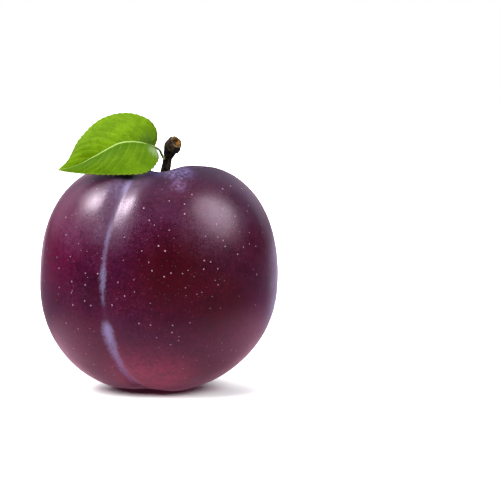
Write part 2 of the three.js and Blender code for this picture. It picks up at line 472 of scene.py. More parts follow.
@dataclass(frozen=True)
class Finish:
    """What the finishes share: a new material with its shader, and the mottle group in it."""

    name: str

    def start(self) -> tuple[bpy.types.Material, Nodes, bpy.types.Node]:
        """Starts the finish.

        Returns:
            A new material, its nodes and its Principled shader.
        """
        material = bpy.data.materials.new(self.name)
        material.use_nodes = True
        shader = material.node_tree.nodes["Principled BSDF"]
        return material, Nodes(material.node_tree), shader

    def mottle(
        self, nodes: Nodes, scale: float, grain: float, contrast: float
    ) -> bpy.types.NodeOutputs:
        """Places the mottle group with its own values.

        Args:
            nodes: the material's nodes.
            scale: patches for each metre.
            grain: how strong the fine grain is.
            contrast: how hard the patches are.

        Returns:
            The group's outputs, Mask and Height.
        """
        group = nodes.add("ShaderNodeGroup", node_tree=mottle_group())
        for name, number in (("Scale", scale), ("Grain", grain), ("Contrast", contrast)):
            group.inputs[name].default_value = number
        return group.outputs

    def relief(self, nodes: Nodes, shader: bpy.types.Node, height: object, depth: float) -> None:
        """Feeds a height into the shader's normal.

        Args:
            nodes: the material's nodes.
            shader: the shader.
            height: the height, round 0 to 1.
            depth: the depth in metres that 1 stands for.
        """
        bump = nodes.add("ShaderNodeBump")
        bump.inputs["Strength"].default_value = 1.0
        bump.inputs["Distance"].default_value = depth
        nodes.feed(bump.inputs["Height"], height)
        nodes.feed(shader.inputs["Normal"], bump.outputs[0])

    def patched(
        self,
        nodes: Nodes,
        base: object,
        blushes_and_painted_light: tuple[Blush, ...],
        cover: object,
    ) -> bpy.types.NodeSocket:
        """Lays patches over a colour, each fading out towards its radius. Some of the patches are
        painted highlights, shade or bounce light.

        Args:
            nodes: the material's nodes.
            base: the colour so far.
            blushes_and_painted_light: the patches, laid in order.
            cover: how much of every patch shows, 0 to 1.

        Returns:
            The colour with the patches on it.
        """
        for blush in blushes_and_painted_light:
            away = nodes.add("ShaderNodeVectorMath", operation="DISTANCE")
            nodes.feed(away.inputs[0], nodes.place())
            centre = Vector(blush.centre) + Vector((0.0, 0.0, MIDDLE_HEIGHT))
            away.inputs[1].default_value = centre * MM
            edge = blush.radius * MM
            near = nodes.ranged(away.outputs["Value"], edge * 0.3, edge * 1.3, blush.strength, 0.0)
            base = nodes.blend(nodes.maths("MULTIPLY", near, cover), base, blush.colour)
        return base


@dataclass(frozen=True)
class PlumSkin(Finish):
    """Waxy purple skin with redder patches, pale dots and the lilac bloom kept in the folds, and a
    bright orange-red patch at the bottom that is partly the fruit's redder base and partly painted
    bounce light from the floor.
    """

    name: str = "plum_skin"
    purple: Colour = (0.038, 0.0010, 0.0150)
    crimson: Colour = (0.052, 0.0008, 0.0110)
    dusk: Colour = (0.008, 0.0025, 0.013)
    bloom: Colour = (0.225, 0.205, 0.36)
    frost: Colour = (0.085, 0.07, 0.185)
    shadow: Colour = (0.012, 0.001, 0.004)
    haze: Colour = (0.15, 0.06, 0.16)
    veil: Colour = (0.165, 0.110, 0.175)
    dot: Colour = (0.36, 0.20, 0.25)
    blushes_and_painted_light: tuple[Blush, ...] = (
        Blush((0.080, 0.0012, 0.023), (-25.5, -14.0, 9.0), 12.0, 0.9),
        Blush((0.058, 0.0026, 0.015), (-16.0, -19.0, -18.0), 13.0, 0.7),
        # Partly the fruit's redder base, partly painted bounce light from the floor: a bright
        # orange-red patch at the bottom.
        Blush((0.215, 0.0280, 0.064), (-2.0, -18.5, -23.5), 12.0, 0.9),
        Blush((0.110, 0.0350, 0.085), (-20.2, -18.5, 13.4), 6.0, 0.35),
        Blush((0.072, 0.0016, 0.028), (24.0, -14.0, -10.0), 10.0, 0.85),
        Blush((0.054, 0.0004, 0.0130), (24.4, -15.0, 8.0), 9.0, 0.8),
        Blush((0.033, 0.0003, 0.0010), (3.5, -29.5, 3.5), 12.0, 0.95),
        Blush((0.046, 0.0003, 0.0030), (15.0, -25.0, -4.0), 11.0, 0.95),
        Blush((0.018, 0.0004, 0.0050), (-15.0, -24.5, -0.8), 5.0, 0.6),
    )
    frost_draw: float = 0.35
    frosts: tuple[Blush, ...] = (
        Blush((0.070, 0.058, 0.150), (-9.5, -18.0, 23.0), 3.0, 0.42),
        Blush((0.035, 0.030, 0.150), (-2.2, -12.5, 26.6), 3.4, 0.9),
        Blush((0.115, 0.090, 0.215), (5.0, -14.0, 26.6), 4.2, 0.7),
        Blush((0.190, 0.105, 0.235), (5.0, -18.8, 22.9), 2.6, 0.7),
    )
    gloss_tint: Colour = (0.96, 0.77, 0.96)
    dust_tint: Colour = (1.0, 0.72, 0.84)
    dusting: float = 0.2
    dust_spread: float = 0.22
    roughness: float = 0.29
    haze_in_patches: float = 0.05
    haze_in_grain: float = 0.03
    patch_shade: float = 0.3
    grain_shade: float = 0.5
    dot_cell: float = 1.6
    dot_radius: float = 0.22
    dot_strength: float = 0.85
    ring_reach: float = 1.7
    ring_strength: float = 0.45
    fleck_cell: float = 0.8
    fleck_radius: float = 0.13
    fleck_strength: float = 0.14
    relief_depth: float = 0.00001

    def bloom_mask(
        self, nodes: Nodes, patches: bpy.types.NodeSocket, grain: bpy.types.NodeSocket
    ) -> bpy.types.NodeSocket:
        """Bloom along the suture, strongest near the base and thin above its middle.

        Args:
            nodes: the material's nodes.
            patches: a mask of soft patches that breaks the bloom up.
            grain: a mask of fine grain that roughens its edges.

        Returns:
            How much of the bloom shows, 0 to 1.
        """
        polar = nodes.value("polar")
        strength = nodes.curve(
            polar,
            [
                (0.0, 0.2),
                (0.2, 0.3),
                (0.25, 0.5),
                (0.28, 0.12),
                (0.34, 0.1),
                (0.39, 0.34),
                (0.44, 0.26),
                (0.5, 0.52),
                (0.55, 0.42),
                (0.59, 0.05),
                (0.61, 0.05),
                (0.64, 1.0),
                (0.76, 0.95),
                (0.84, 0.8),
                (0.95, 0.6),
            ],
        )
        width = nodes.curve(
            polar,
            [
                (0.0, 0.08),
                (0.22, 0.08),
                (0.3, 0.06),
                (0.36, 0.05),
                (0.5, 0.068),
                (0.58, 0.06),
                (0.65, 0.13),
                (0.73, 0.1),
                (0.82, 0.055),
                (1.0, 0.04),
            ],
        )
        reach = nodes.maths("MULTIPLY", width, 10.0)
        away = nodes.maths("ABSOLUTE", nodes.maths("ADD", nodes.value("suture"), 0.25))
        wobble = nodes.maths("MULTIPLY", nodes.maths("SUBTRACT", patches, 0.5), 0.6)
        fringe = nodes.maths("MULTIPLY", nodes.maths("SUBTRACT", grain, 0.5), 0.7)
        place = nodes.maths("ADD", away, nodes.maths("ADD", wobble, fringe))
        place = nodes.maths("DIVIDE", place, reach)
        line = nodes.maths("MULTIPLY", nodes.ranged(place, 0.1, 1.7, 1.0, 0.0), strength)
        line = nodes.maths("MULTIPLY", line, nodes.ranged(grain, 0.0, 0.8, 0.8, 1.0))
        return nodes.maths("MULTIPLY", line, nodes.ranged(patches, 0.1, 0.7, 0.75, 1.0))

    def veil_mask(self, nodes: Nodes, grain: bpy.types.NodeSocket) -> bpy.types.NodeSocket:
        """A thin veil of bloom that spreads to both sides of the upper suture.

        Args:
            nodes: the material's nodes.
            grain: a mask of fine grain that breaks the veil up.

        Returns:
            How much of the veil shows, 0 to 1.
        """
        height = nodes.curve(
            nodes.value("polar"), [(0.12, 0.0), (0.24, 0.3), (0.36, 0.26), (0.45, 0.0)]
        )
        away = nodes.maths("ABSOLUTE", nodes.value("suture"))
        near = nodes.maths("MULTIPLY", nodes.ranged(away, 1.0, 7.5, 1.0, 0.0), height)
        return nodes.maths("MULTIPLY", near, nodes.ranged(grain, 0.1, 0.8, 0.6, 1.0))

    def frost_mask(self, nodes: Nodes, speckles: bpy.types.NodeSocket) -> bpy.types.NodeSocket:
        """Blue frosting round the stem cavity, in speckles that thin out over the shoulder.

        Args:
            nodes: the material's nodes.
            speckles: noise that breaks the frosting up.

        Returns:
            How much of the frosting shows, 0 to 1.
        """
        near = nodes.ranged(nodes.value("stem_distance"), 6.0, 17.0, 0.6, 0.0)
        return nodes.maths("MULTIPLY", near, nodes.ranged(speckles, 0.38, 0.62, 0.2, 1.0))

    def seed_distance(self, nodes: Nodes, cell: float) -> bpy.types.NodeSocket:
        """How far the skin is from scattered seeds, each with a size of its own.

        Args:
            nodes: the material's nodes.
            cell: spacing of the seeds, in millimetres.

        Returns:
            The distance to the nearest seed over the seed's size, in cells.
        """
        cells = nodes.add("ShaderNodeTexVoronoi", feature="F1")
        nodes.feed(cells.inputs["Vector"], nodes.place())
        cells.inputs["Scale"].default_value = 1.0 / (cell * MM)
        tone = nodes.add("ShaderNodeSeparateColor")
        nodes.feed(tone.inputs[0], cells.outputs["Color"])
        size = nodes.ranged(tone.outputs[0], 0.0, 1.0, 0.55, 1.25)
        return nodes.maths("DIVIDE", cells.outputs["Distance"], size)

    def dot_mask(
        self, nodes: Nodes, away: bpy.types.NodeSocket, edge: float
    ) -> bpy.types.NodeSocket:
        """Round dots that are full at their middle and fade out at an edge, in cells."""
        return nodes.ranged(away, edge * 0.45, edge, 1.0, 0.0)

    def make(self) -> bpy.types.Material:
        """Builds the finish.

        Returns:
            The new material.
        """
        material, nodes, shader = self.start()
        patches = self.mottle(nodes, 210.0, 0.7, 1.0)["Mask"]
        clouds = self.mottle(nodes, 60.0, 0.4, 1.2)["Mask"]
        skin = nodes.blend(nodes.ranged(clouds, 0.2, 0.9), self.purple, self.crimson)
        grain = self.mottle(nodes, 1100.0, 1.0, 1.3)["Mask"]
        haze = nodes.ranged(patches, 0.4, 1.0, 0.0, self.haze_in_patches)
        haze = nodes.maths("ADD", haze, nodes.ranged(grain, 0.5, 1.0, 0.0, self.haze_in_grain))
        skin = nodes.blend(haze, skin, self.haze)
        # These patches include painted bounce light at the bottom of the fruit.
        skin = self.patched(nodes, skin, self.blushes_and_painted_light, 1.0)
        top = nodes.ranged(nodes.value("stem_distance"), 15.0, 32.0, 0.92, 0.0)
        skin = nodes.blend(top, skin, self.dusk)
        drawn_back = nodes.add("ShaderNodeVectorMath", operation="MULTIPLY")
        nodes.feed(drawn_back.inputs[0], nodes.place())
        drawn_back.inputs[1].default_value = (1.0, self.frost_draw, 1.0)
        speckles = nodes.noise(1500.0, 3.0, 0.6, drawn_back.outputs[0])
        skin = nodes.blend(self.frost_mask(nodes, speckles), skin, self.frost)
        speckled = nodes.ranged(speckles, 0.4, 0.64, 0.2, 1.0)
        skin = self.patched(nodes, skin, self.frosts, speckled)
        shaded = nodes.ranged(patches, 0.0, 0.5, self.patch_shade, 0.0)
        skin = nodes.blend(shaded, skin, self.shadow)
        shaded = nodes.ranged(grain, 0.0, 0.55, self.grain_shade, 0.0)
        skin = nodes.blend(shaded, skin, self.shadow)
        skin = nodes.blend(self.veil_mask(nodes, grain), skin, self.veil)
        bloom = self.bloom_mask(nodes, patches, grain)
        skin = nodes.blend(bloom, skin, self.bloom)
        away = self.seed_distance(nodes, self.fleck_cell)
        flecks = self.dot_mask(nodes, away, self.fleck_radius / self.fleck_cell)
        flecks = nodes.maths("MULTIPLY", flecks, self.fleck_strength)
        skin = nodes.blend(flecks, skin, self.dot)
        away = self.seed_distance(nodes, self.dot_cell)
        edge = self.dot_radius / self.dot_cell
        dots = self.dot_mask(nodes, away, edge)
        rings = nodes.ranged(away, edge, edge * self.ring_reach, 1.0, 0.0)
        skin = nodes.blend(nodes.maths("MULTIPLY", rings, self.ring_strength), skin, self.shadow)
        skin = nodes.blend(nodes.maths("MULTIPLY", dots, self.dot_strength), skin, self.dot)
        nodes.feed(shader.inputs["Base Color"], skin)
        shader.inputs["Specular Tint"].default_value = (*self.gloss_tint, 1.0)
        shader.inputs["Sheen Weight"].default_value = self.dusting
        shader.inputs["Sheen Roughness"].default_value = self.dust_spread
        shader.inputs["Sheen Tint"].default_value = (*self.dust_tint, 1.0)
        dull = nodes.maths("MULTIPLY", bloom, 0.3)
        uneven = nodes.maths("MULTIPLY", patches, 0.08)
        rough = nodes.maths("ADD", nodes.maths("ADD", dull, uneven), self.roughness)
        nodes.feed(shader.inputs["Roughness"], rough)
        height = nodes.maths("MULTIPLY", dots, 0.6)
        height = nodes.maths("ADD", height, nodes.noise(900.0, 3.0, 0.6, nodes.place()))
        self.relief(nodes, shader, height, self.relief_depth)
        return material


@dataclass(frozen=True)
class LeafGreen(Finish):
    """Fresh green leaf: a pale rib and faint side veins, a lighter edge and soft gloss, with
    painted shade on the lower half by the rib and a painted highlight and painted shade near the
    base.
    """

    name: str = "leaf_green"
    blade: Colour = (0.058, 0.118, 0.0006)
    light: Colour = (0.092, 0.170, 0.002)
    shade: Colour = (0.026, 0.070, 0.0002)
    vein: Colour = (0.15, 0.25, 0.02)
    rib: Colour = (0.21, 0.30, 0.075)
    edge: Colour = (0.14, 0.21, 0.02)
    underside: Colour = (0.12, 0.19, 0.04)
    painted_gloss_and_shade: tuple[Blush, ...] = (
        # Painted highlight: a pale whitish-green gloss near the blade's base.
        Blush((0.20, 0.27, 0.13), (-0.7, -9.3, 31.4), 2.5, 0.55),
        # Painted shade: darker green beside the pressed-in rib near the base.
        Blush((0.050, 0.100, 0.012), (-2.4, -6.8, 33.8), 2.6, 0.5),
    )
    roughness: float = 0.42

    def make(self) -> bpy.types.Material:
        """Builds the finish.

        Returns:
            The new material.
        """
        material, nodes, shader = self.start()
        patches = self.mottle(nodes, 260.0, 0.6, 0.9)
        green = nodes.blend(nodes.ranged(patches["Mask"], 0.1, 1.0), self.blade, self.light)
        # Painted shade: the lower half of the blade is darker green, darkest next to the rib.
        lower_half_painted_shade = nodes.ranged(nodes.value("rib_distance"), 1.0, 7.0, 0.8, 0.35)
        lower_half_painted_shade = nodes.maths("MULTIPLY", nodes.value("lower"), lower_half_painted_shade)
        green = nodes.blend(lower_half_painted_shade, green, self.shade)
        # Painted highlight and painted shade near the blade's base.
        green = self.patched(nodes, green, self.painted_gloss_and_shade, 1.0)
        vein = nodes.ranged(nodes.value("vein_distance"), 0.03, 0.2, 0.26, 0.0)
        green = nodes.blend(vein, green, self.vein)
        rim = nodes.ranged(nodes.value("edge_distance"), 0.1, 0.5, 0.6, 0.0)
        green = nodes.blend(rim, green, self.edge)
        under = nodes.maths("MULTIPLY", nodes.value("underside"), 0.7)
        green = nodes.blend(under, green, self.underside)
        rib = nodes.ranged(nodes.value("rib_distance"), 0.16, 0.42, 1.0, 0.0)
        green = nodes.blend(rib, green, self.rib)
        nodes.feed(shader.inputs["Base Color"], green)
        shader.inputs["Specular IOR Level"].default_value = 0.03
        dull = nodes.maths("MULTIPLY", patches["Mask"], 0.12)
        nodes.feed(shader.inputs["Roughness"], nodes.maths("ADD", dull, self.roughness))
        net = nodes.add("ShaderNodeTexVoronoi", feature="DISTANCE_TO_EDGE")
        nodes.feed(net.inputs["Vector"], nodes.place())
        net.inputs["Scale"].default_value = 1100.0
        cells = nodes.ranged(net.outputs["Distance"], 0.0, 0.18)
        self.relief(nodes, shader, cells, 0.00003)
        return material


@dataclass(frozen=True)
class StemBark(Finish):
    """Dark brown bark with greyer ridges, a tan rim and a rusty broken end with dark pits."""

    name: str = "stem_bark"
    dark: Colour = (0.0045, 0.0022, 0.0006)
    ridge: Colour = (0.034, 0.021, 0.007)
    grey: Colour = (0.095, 0.070, 0.034)
    rim: Colour = (0.20, 0.13, 0.06)
    wood: Colour = (0.22, 0.10, 0.015)
    pit: Colour = (0.010, 0.004, 0.001)

    def make(self) -> bpy.types.Material:
        """Builds the finish.

        Returns:
            The new material.
        """
        material, nodes, shader = self.start()
        patches = self.mottle(nodes, 900.0, 0.8, 1.2)
        bark = nodes.blend(nodes.ranged(nodes.value("relief"), -0.02, 0.13), self.dark, self.ridge)
        scuff = nodes.maths("MULTIPLY", nodes.ranged(patches["Mask"], 0.62, 1.0), 0.5)
        bark = nodes.blend(scuff, bark, self.grey)
        cut = nodes.value("cut")
        rim = nodes.curve(cut, [(0.0, 0.0), (0.5, 0.0), (0.55, 0.9), (0.63, 0.7), (0.72, 0.0)])
        bark = nodes.blend(nodes.maths("MULTIPLY", rim, patches["Mask"]), bark, self.rim)
        wood = nodes.blend(nodes.ranged(patches["Mask"], 0.5, 0.72), self.pit, self.wood)
        bark = nodes.blend(nodes.ranged(cut, 0.62, 0.74), bark, wood)
        nodes.feed(shader.inputs["Base Color"], bark)
        rough = nodes.ranged(patches["Mask"], 0.0, 1.0, 0.6, 0.9)
        nodes.feed(shader.inputs["Roughness"], rough)
        shader.inputs["Specular IOR Level"].default_value = 0.25
        self.relief(nodes, shader, patches["Height"], 0.0002)
        return material


@dataclass(frozen=True)
class PlainFloor(Finish):
    """A plain white floor with a painted pink shadow tint round the plum's foot, that the skin
    mirrors in dimmer colours.
    """

    name: str = "studio_floor"
    white: Colour = (0.92, 0.91, 0.915)
    # Painted shadow: a pink tint that darkens the floor round the plum's foot.
    painted_shadow_tint: Colour = (0.92, 0.68, 0.78)
    near: Colour = (0.42, 0.25, 0.31)
    far_left: Colour = (0.07, 0.06, 0.09)
    far_right: Colour = (0.32, 0.29, 0.41)
    slit: Colour = (0.80, 0.58, 0.72)
    near_glow: Colour = (0.31, 0.12, 0.185)
    rear_border: Slant = Slant(-0.9, -0.06, 0.02)
    beside_border: Slant = Slant(-0.35, -0.05, 0.05, 0.5)
    slit_border: Slant = Slant(2.2, 0.0, 0.08)
    right_full: float = 0.05
    left_full: float = -0.02
    front_squeeze: float = 1.6
    painted_shadow_from: float = 6.0
    painted_shadow_to: float = 20.0
    near_radius: float = 26.0
    far_radius: float = 120.0

    def make(self) -> bpy.types.Material:
        """Builds the finish.

        Returns:
            The new material.
        """
        material, nodes, shader = self.start()
        squeezed = nodes.add("ShaderNodeVectorMath", operation="MULTIPLY")
        nodes.feed(squeezed.inputs[0], nodes.place())
        squeezed.inputs[1].default_value = (1.0, self.front_squeeze, 1.0)
        away = nodes.add("ShaderNodeVectorMath", operation="LENGTH")
        nodes.feed(away.inputs[0], squeezed.outputs[0])
        aside = nodes.add("ShaderNodeSeparateXYZ")
        nodes.feed(aside.inputs[0], nodes.place())
        x, y = aside.outputs[0], aside.outputs[1]
        right = nodes.ranged(x, 0.0, self.right_full)
        corner = nodes.maths("MULTIPLY", nodes.past(self.rear_border, x, y), right)
        corner = nodes.maths("MULTIPLY", corner, nodes.past(self.beside_border, y, x))
        far = nodes.blend(corner, self.far_left, self.far_right)
        left = nodes.ranged(x, 0.0, self.left_full)
        slit = nodes.maths("MULTIPLY", nodes.past(self.slit_border, x, y), left)
        far = nodes.blend(slit, far, self.slit)
        distant = nodes.ranged(away.outputs["Value"], self.near_radius * MM, self.far_radius * MM)
        mirrored = nodes.blend(distant, self.near, far)
        seen = nodes.add("ShaderNodeLightPath").outputs["Is Camera Ray"]
        # Painted shadow: the camera sees the floor tinted darker pink round the plum's foot, as
        # bounce light from the fruit would colour its shadow.
        outward = nodes.ranged(away.outputs["Value"], self.painted_shadow_from * MM, self.painted_shadow_to * MM)
        shown = nodes.blend(outward, self.painted_shadow_tint, self.white)
        nodes.feed(shader.inputs["Base Color"], nodes.blend(seen, mirrored, shown))
        glow = nodes.blend(distant, self.near_glow, (0.0, 0.0, 0.0))
        nodes.feed(shader.inputs["Emission Color"], nodes.blend(seen, glow, (0.0, 0.0, 0.0)))
        shader.inputs["Emission Strength"].default_value = 1.0
        shader.inputs["Roughness"].default_value = 0.9
        shader.inputs["Specular IOR Level"].default_value = 0.0
        return material


@dataclass(frozen=True)
class Fold:
    """A fold of the suture: its half width, and its depth midway, near the stem, near the base."""

    width: float
    middle: float
    at_stem: float
    at_base: float


@dataclass
class Fruit:
    """The fruit: a superellipse body with its suture, stem cavity, saddle and base dimple.

    A channel runs along both sides of the upper suture, wider on the right than on the left.
    """

    girth_radius: float = 29.9
    stem_end_reach: float = 29.8
    base_end_reach: float = 29.4
    shoulder_fullness: float = 2.48
    base_fullness: float = 2.1
    cavity_depth: float = 5.8
    cavity_width: float = 7.9
    cleft_depth: float = 1.8
    cleft_width: float = 4.0
    dimple_depth: float = 0.8
    dimple_width: float = 4.0
    valley: Fold = Fold(7.0, 0.5, 0.1, 0.6)
    crease: Fold = Fold(1.3, 0.17, 0.0, 0.95)
    channel_left: float = 2.2
    channel_right: float = 3.8
    channel_depth: float = 0.95
    channel_place: float = 0.85
    channel_spread: float = 0.5
    suture_bearing: float = -117.0
    suture_drift: float = 7.0
    stem_end_spread: float = 0.7
    base_end_spread: float = 0.6
    far_side_fade: float = 3.0
    lean: float = 2.0
    tip_back: float = 5.0
    base_bend: float = -1.5
    rows: int = 232
    columns: int = 400
    crowding: float = 0.6

    def fold_depth(self, fold: Fold, polar: np.ndarray) -> np.ndarray:
        """The fold's depth: its middle depth, plus a bell at the stem end and one at the base.

        Args:
            fold: the fold.
            polar: angles from the stem end, in radians.

        Returns:
            A depth for each angle, in millimetres.
        """
        at_stem = fold.at_stem * bell(polar, self.stem_end_spread)
        at_base = fold.at_base * bell(np.pi - polar, self.base_end_spread)
        return fold.middle + at_stem + at_base

    def skin(self, polar: np.ndarray, turn: np.ndarray) -> tuple[np.ndarray, dict[str, np.ndarray]]:
        """Points of the skin by the angle from the stem end and the turn from the suture.

        The radius is the superellipse one over the root of (across to a power plus along to that
        power). The suture's folds and channel go in by bells of the distance to its plane, the
        cavity and the dimple by bells of the distance to the axis, the saddle by a bell of x, and
        the whole then leans.

        Args:
            polar: angles from the stem end, in radians.
            turn: angles round the axis from the suture, in radians.

        Returns:
            The points, and the distances that the finish reads.
        """
        upness = np.cos(polar)
        reach = np.where(upness > 0, self.stem_end_reach, self.base_end_reach)
        fuller = self.shoulder_fullness - self.base_fullness
        power = self.base_fullness + fuller * smooth((upness + 1) / 2)
        across = np.sin(polar) / self.girth_radius
        plain = (across**power + (np.abs(upness) / reach) ** power) ** (-1 / power)
        sideways = plain * np.sin(polar) * np.sin(turn)
        ahead = plain * np.sin(polar) * np.cos(turn)
        near_side = (1 + np.tanh(ahead / self.far_side_fade)) / 2
        folds = bell(sideways, self.valley.width) * self.fold_depth(self.valley, polar)
        folds += bell(sideways, self.crease.width) * self.fold_depth(self.crease, polar)
        channel = self.channel_depth * bell(polar - self.channel_place, self.channel_spread)
        flank = np.where(sideways < 0, self.channel_left, self.channel_right)
        folds += bell(sideways / flank, 1.0) * channel
        radius = plain - near_side * folds
        drift = self.suture_drift * smooth(np.abs(polar - np.pi / 2) / (np.pi / 2))
        bearing = np.radians(self.suture_bearing + drift) + turn
        out = radius * np.sin(polar)
        level = radius * upness
        dimple = self.dimple_depth * bell(out, self.dimple_width)
        cavity = -self.cavity_depth * bell(out, self.cavity_width)
        x, y = out * np.cos(bearing), out * np.sin(bearing)
        z = level + np.where(level > 0, cavity, dimple)
        topness = np.clip(z / self.girth_radius, 0, 1) ** 2
        z = z - self.cleft_depth * bell(x, self.cleft_width) * topness
        lean, tip = math.radians(self.lean), math.radians(self.tip_back)
        x, z = x * math.cos(lean) + z * math.sin(lean), z * math.cos(lean) - x * math.sin(lean)
        y, z = y * math.cos(tip) + z * math.sin(tip), z * math.cos(tip) - y * math.sin(tip)
        x = x + self.base_bend * np.clip(-z / self.girth_radius, 0, 1) ** 2
        beyond = np.where(ahead > 0, 0.0, 40.0)
        values = {
            "suture": sideways + np.copysign(beyond, sideways),
            "polar": polar / np.pi,
            "stem_distance": np.where(level > 0, out, 60.0),
        }
        return np.stack([x, y, z], axis=-1), values

    def surface(self) -> Surface:
        """The whole skin as one closed surface, with slight swells and the flat resting spot.

        Returns:
            The surface, with a pole at each end.
        """
        round_ = 2 * np.pi * np.arange(self.columns) / self.columns
        turns = round_ - self.crowding * np.sin(round_)
        polars = np.pi * np.arange(1, self.rows) / self.rows
        polar, turn = (g.ravel() for g in np.meshgrid(polars, turns, indexing="ij"))
        polar = np.concatenate([polar, [0.0, np.pi]])
        turn = np.concatenate([turn, [0.0, 0.0]])
        points, values = self.skin(polar, turn)
        swell = LatticeNoise(7).at(points, 15.0) * 0.1 + LatticeNoise(8).at(points, 5.0) * 0.03
        clear = smooth((points[:, 2] + MIDDLE_HEIGHT) / 6.0)
        points = points + unit(points) * (swell * clear)[:, None]
        points[:, 2] = np.maximum(points[:, 2], -MIDDLE_HEIGHT)
        count = (self.rows - 1) * self.columns
        first = np.arange(self.columns)
        last = first + count - self.columns
        faces = [
            grid_quads(self.rows - 1, self.columns, True)[:, ::-1],
            cap_triangles(first, count),
            cap_triangles(last[::-1], count + 1),
        ]
        return Surface(points, faces, values)

    def build(self) -> bpy.types.Object:
        """Makes the fruit and stands it for the fruit's solid.

        Returns:
            The new piece.
        """
        piece = self.surface().place("fruit_skin", PlumSkin().make())
        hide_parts("fruit")
        return piece


@dataclass
class Stem:
    """The woody stem: bark round a bent line, a knob, and a broken end with a shallow crater."""

    line: tuple[tuple[float, float, float], ...] = (
        (1.0, 2.2, 23.3),
        (1.3, 2.2, 25.1),
        (1.8, 1.9, 27.2),
        (2.35, 1.6, 29.9),
        (3.25, 1.2, 32.3),
        (4.55, 0.6, 33.8),
    )
    radii: tuple[tuple[float, float], ...] = (
        (0.0, 1.3),
        (0.25, 1.15),
        (0.57, 1.1),
        (0.7, 1.5),
        (0.82, 2.1),
        (0.92, 2.1),
        (1.0, 1.65),
    )
    cut_facing: tuple[float, float, float] = (0.62, -0.62, 0.48)
    cut_turn_from: float = 0.7
    crater_share: float = 0.62
    crater_depth: float = 0.7
    foot_drop: float = 0.2
    ridges: int = 5
    ridge_height: float = 0.04
    root_depth: float = 1.0
    rows: int = 190
    columns: int = 120

    def radius(self, share: np.ndarray) -> np.ndarray:
        """The radius, eased between the listed places.

        Args:
            share: shares of the way up, 0 to 1.

        Returns:
            A radius for each share, in millimetres.
        """
        places, sizes = (np.array(column) for column in zip(*self.radii))
        after = np.clip(np.searchsorted(places, share), 1, len(places) - 1)
        step = (share - places[after - 1]) / (places[after] - places[after - 1])
        return sizes[after - 1] + (sizes[after] - sizes[after - 1]) * smooth(step)

    def surface(self) -> Surface:
        """The bark as rings round the line, then the crater as rings inwards on the cut plane.

        Each ring stands across the line at first and turns to the cut plane at the end. Ridges
        run up the bark as a cosine of the angle, and noise stretched along the line breaks them.

        Returns:
            The surface, closed at its root and in the crater.
        """
        line = Line(list(self.line))
        share = np.linspace(0.0, 1.0, self.rows)
        place = line.by_length(share)
        centre, along = line.at(place), line.tangent(place)
        centre[0] -= along[0] * self.foot_drop
        cut = unit(np.array(self.cut_facing))
        turned = smooth((share - self.cut_turn_from) / (1 - self.cut_turn_from))[:, None]
        facing = unit(along * (1 - turned) + cut * turned)
        inner = np.linspace(0.0, 1.0, 26)[1:-1]
        rim = float(self.radius(np.array([1.0]))[0])
        depth = self.crater_depth * smooth((inner - 0.22) / 0.5)
        centre = np.vstack([centre, centre[-1] - cut * depth[:, None]])
        facing = np.vstack([facing, np.repeat(cut[None], len(inner), 0)])
        radius = np.concatenate([self.radius(share), rim * (1 - inner)])
        cut_share = np.concatenate([0.55 * smooth((share - 0.93) / 0.07), 0.55 + 0.45 * inner])
        side = unit(np.cross((0.0, 1.0, 0.0), facing))
        ahead = np.cross(facing, side)
        angle = 2 * np.pi * np.arange(self.columns) / self.columns
        round_ = side[:, None] * np.cos(angle)[:, None] + ahead[:, None] * np.sin(angle)[:, None]
        plain = centre[:, None] + round_ * radius[:, None, None]
        bark = np.concatenate([np.ones(self.rows), 1 - smooth(inner * 3)])[:, None]
        stretched = plain * (1.0, 1.0, 0.35)
        rough = LatticeNoise(21).at(stretched, 0.42) * 0.05
        rough = rough + LatticeNoise(22).at(stretched, 0.16) * 0.03
        lumps = LatticeNoise(23).at(plain, 1.1) * 0.07
        ridge = self.ridge_height * np.cos(self.ridges * angle)[None] * radius[:, None]
        relief = (rough + lumps + ridge) * bark
        pits = LatticeNoise(24).at(plain, 0.55) * 0.16 * (1 - bark)
        points = plain + round_ * relief[..., None] + cut * pits[..., None]
        count = points.shape[0] * self.columns
        tip = centre[-1] - cut * 0.02
        root = centre[0] - along[0] * self.root_depth
        first, last = np.arange(self.columns), np.arange(count - self.columns, count)
        faces = [
            grid_quads(points.shape[0], self.columns, True),
            cap_triangles(last, count),
            cap_triangles(first[::-1], count + 1),
        ]
        values = {
            "relief": np.concatenate([relief.ravel(), [0.0, 0.0]]),
            "cut": np.concatenate([np.repeat(cut_share, self.columns), [1.0, 0.0]]),
        }
        return Surface(np.vstack([points.reshape(-1, 3), tip, root]), faces, values)

    def build(self) -> bpy.types.Object:
        """Makes the stem and stands it for the stem's solid.

        Returns:
            The new piece.
        """
        piece = self.surface().place("stem_bark", StemBark().make())
        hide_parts("stem")
        return piece


